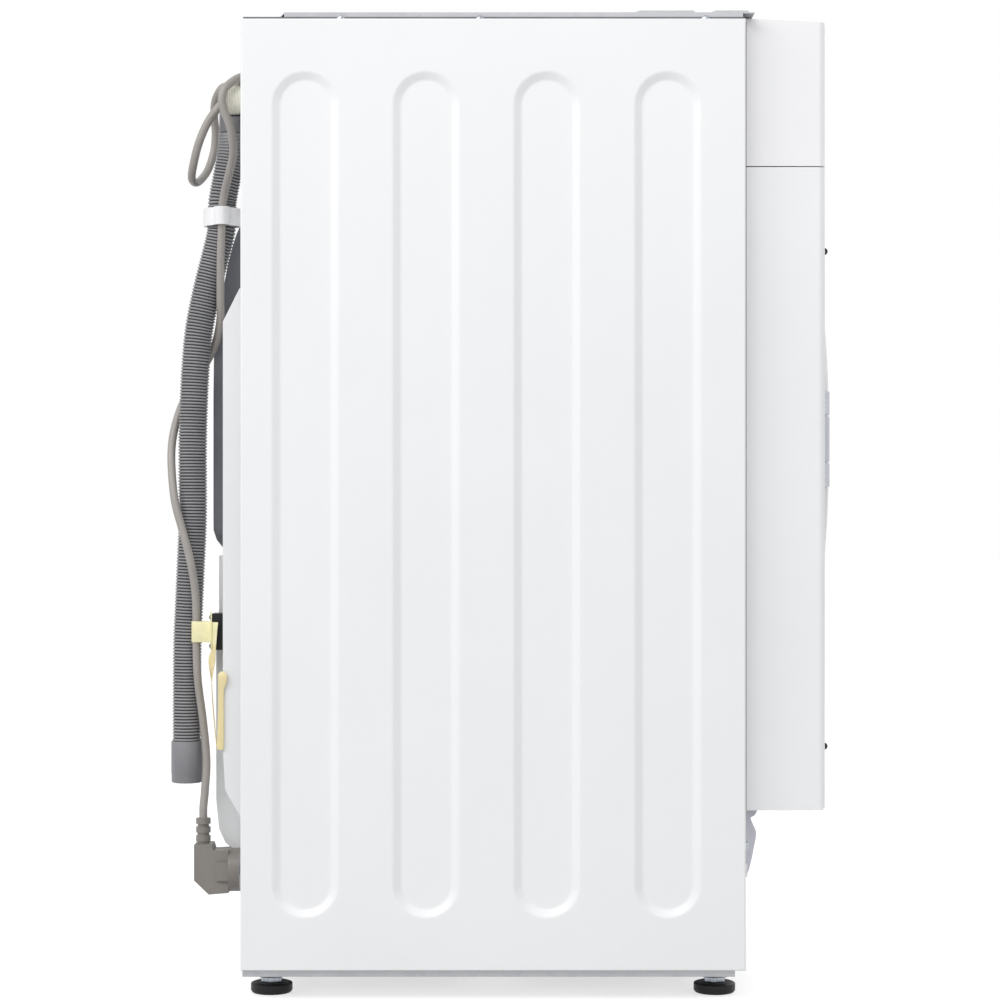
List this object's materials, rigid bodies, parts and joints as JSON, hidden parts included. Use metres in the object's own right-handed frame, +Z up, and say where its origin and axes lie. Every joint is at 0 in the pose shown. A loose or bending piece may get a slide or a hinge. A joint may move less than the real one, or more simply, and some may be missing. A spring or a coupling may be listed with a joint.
{
  "type": "integrated washing machine",
  "caption": "Built-in front-loading washing machine with ribbed side panels, domed door, drum, tub on springs, drawer, feet, drain hose and mains lead",
  "frame": {"origin": "on the floor under the middle of the machine's bounding box, taken without the hose and the lead", "axes": "+Z up, -Y out of the front door, +Y out of the rear, -X to the side that the picture shows"},
  "size_m": [0.595, 0.5779, 0.82],
  "materials": {
    "white_enamel": "white stove enamel on sheet steel",
    "white_plastic": "white moulded ABS",
    "galvanised": "galvanised sheet steel",
    "grey_plastic": "dark grey moulded polypropylene",
    "board": "circuit board",
    "ivory_plastic": "ivory nylon",
    "black_plastic": "black polypropylene",
    "yellow_band": "pale yellow polyethylene strap",
    "gasket_rubber": "grey moulded rubber",
    "black_rubber": "black rubber",
    "steel": "plain steel",
    "drum_steel": "stainless steel sheet",
    "zinc": "zinc-plated steel",
    "hose_plastic": "grey corrugated polypropylene",
    "cord_sheath": "grey-beige PVC sheath",
    "plug_plastic": "grey-beige moulded PVC",
    "bowl_glass": "clear pressed glass",
    "tray_plastic": "light grey polypropylene",
    "silver_plastic": "silver-grey moulded ABS",
    "flap_plastic": "white translucent moulded plastic",
    "tub_plastic": "glass-filled polypropylene",
    "concrete": "cast concrete",
    "motor_alloy": "cast aluminium"
  },
  "bodies": {
    "cabinet": {"side_panel_left": "white_enamel", "side_panel_right": "white_enamel", "rear_panel": "white_enamel", "rear_cover": "grey_plastic", "top_plate": "galvanised", "base_frame": "galvanised", "cross_rails": "galvanised", "front_panel": "white_enamel", "control_panel": "white_plastic", "kick_panel": "white_enamel", "control_board": "board", "inlet_valve": "ivory_plastic", "dispenser_housing": "white_plastic", "drain_elbow": "grey_plastic", "hose_clip": "white_plastic", "strap_block": "black_plastic", "cord_strap": "yellow_band", "cord_gland": "white_plastic", "door_gasket": "gasket_rubber", "door_lock": "black_plastic", "door_hinge": "steel", "drain_pump": "white_plastic", "sump_hose": "black_rubber", "suspension_springs": "steel", "damper_cylinders": "black_plastic", "lock_nuts": "zinc", "fasteners": "zinc", "drain_hose": "hose_plastic", "power_cord": "cord_sheath", "power_plug": "plug_plastic"},
    "door": {"door_frame": "white_plastic", "door_cover": "white_plastic", "door_glass": "bowl_glass", "door_arm": "steel"},
    "latch": {"latch_hook": "steel"},
    "drawer": {"drawer_tray": "tray_plastic", "drawer_front": "white_plastic"},
    "dial": {"program_dial": "silver_plastic"},
    "power_key": {"power_button": "silver_plastic"},
    "start_key": {"start_button": "silver_plastic"},
    "option_key": {"option_button": "silver_plastic"},
    "flap": {"filter_flap": "flap_plastic"},
    "filter": {"pump_filter": "white_plastic"},
    "tub": {"tub_front": "tub_plastic", "tub_rear": "tub_plastic", "counterweights": "concrete", "heater": "steel", "motor": "motor_alloy", "drive_belt": "black_rubber", "damper_rods": "steel", "bearings": "steel"},
    "drum_group": {"drum": "drum_steel", "drum_baffles": "tray_plastic", "drum_spider": "motor_alloy", "drum_pulley": "motor_alloy"},
    "rotor": {"motor_pulley": "steel"},
    "rear_left_foot": {"foot_rear_left": "black_plastic"},
    "rear_right_foot": {"foot_rear_right": "black_plastic"},
    "front_left_foot": {"foot_front_left": "black_plastic"},
    "front_right_foot": {"foot_front_right": "black_plastic"}
  },
  "joints": [
    {"name": "door_swing", "type": "hinge", "parent": "cabinet", "child": "door", "pos_m": [-0.199, -0.25975, 0.467], "axis": [0, 0, -1], "range_deg": [0, 125]},
    {"name": "latch_pivot", "type": "hinge", "parent": "door", "child": "latch", "pos_m": [0.171, -0.25795, 0.467], "axis": [0, 0, 1], "range_deg": [-8, 8], "stiffness_Nm_per_rad": 0.08},
    {"name": "drawer_slide", "type": "slide", "parent": "cabinet", "child": "drawer", "axis": [0, -1, 0], "range_m": [0, 0.16]},
    {"name": "dial_turn", "type": "hinge", "parent": "cabinet", "child": "dial", "pos_m": [-0.045, -0.25, 0.7528], "axis": [0, 1, 0], "continuous": true},
    {"name": "power_press", "type": "slide", "parent": "cabinet", "child": "power_key", "axis": [0, 1, 0], "range_m": [0, 0.0015], "stiffness_N_per_m": 300},
    {"name": "start_press", "type": "slide", "parent": "cabinet", "child": "start_key", "axis": [0, 1, 0], "range_m": [0, 0.0015], "stiffness_N_per_m": 300},
    {"name": "option_press", "type": "slide", "parent": "cabinet", "child": "option_key", "axis": [0, 1, 0], "range_m": [0, 0.0015], "stiffness_N_per_m": 300},
    {"name": "flap_swing", "type": "hinge", "parent": "cabinet", "child": "flap", "pos_m": [-0.199, -0.18505, 0.103], "axis": [1, 0, 0], "range_deg": [0, 100]},
    {"name": "filter_turn", "type": "hinge", "parent": "cabinet", "child": "filter", "pos_m": [-0.202, -0.17, 0.125], "axis": [0, 1, 0], "range_deg": [0, 180]},
    {"name": "tub_bounce", "type": "slide", "parent": "cabinet", "child": "tub", "axis": [0, 0, 1], "range_m": [-0.008, 0.008], "stiffness_N_per_m": 13000, "springref_m": 0.022, "deforming": ["suspension_springs", "sump_hose", "door_gasket"]},
    {"name": "drum_spin", "type": "hinge", "parent": "tub", "child": "drum_group", "pos_m": [0, 0, 0.467], "axis": [0, 1, 0], "continuous": true},
    {"name": "motor_spin", "type": "hinge", "parent": "tub", "child": "rotor", "pos_m": [0.09, 0.1, 0.15], "axis": [0, 1, 0], "continuous": true},
    {"name": "foot_rear_left_level", "type": "slide", "parent": "cabinet", "child": "rear_left_foot", "axis": [0, 0, -1], "range_m": [0, 0.015]},
    {"name": "foot_rear_right_level", "type": "slide", "parent": "cabinet", "child": "rear_right_foot", "axis": [0, 0, -1], "range_m": [0, 0.015]},
    {"name": "foot_front_left_level", "type": "slide", "parent": "cabinet", "child": "front_left_foot", "axis": [0, 0, -1], "range_m": [0, 0.015]},
    {"name": "foot_front_right_level", "type": "slide", "parent": "cabinet", "child": "front_right_foot", "axis": [0, 0, -1], "range_m": [0, 0.015]}
  ],
  "couplings": [
    {"joint": "motor_spin", "follows": "drum_spin", "ratio": 14.667}
  ]
}
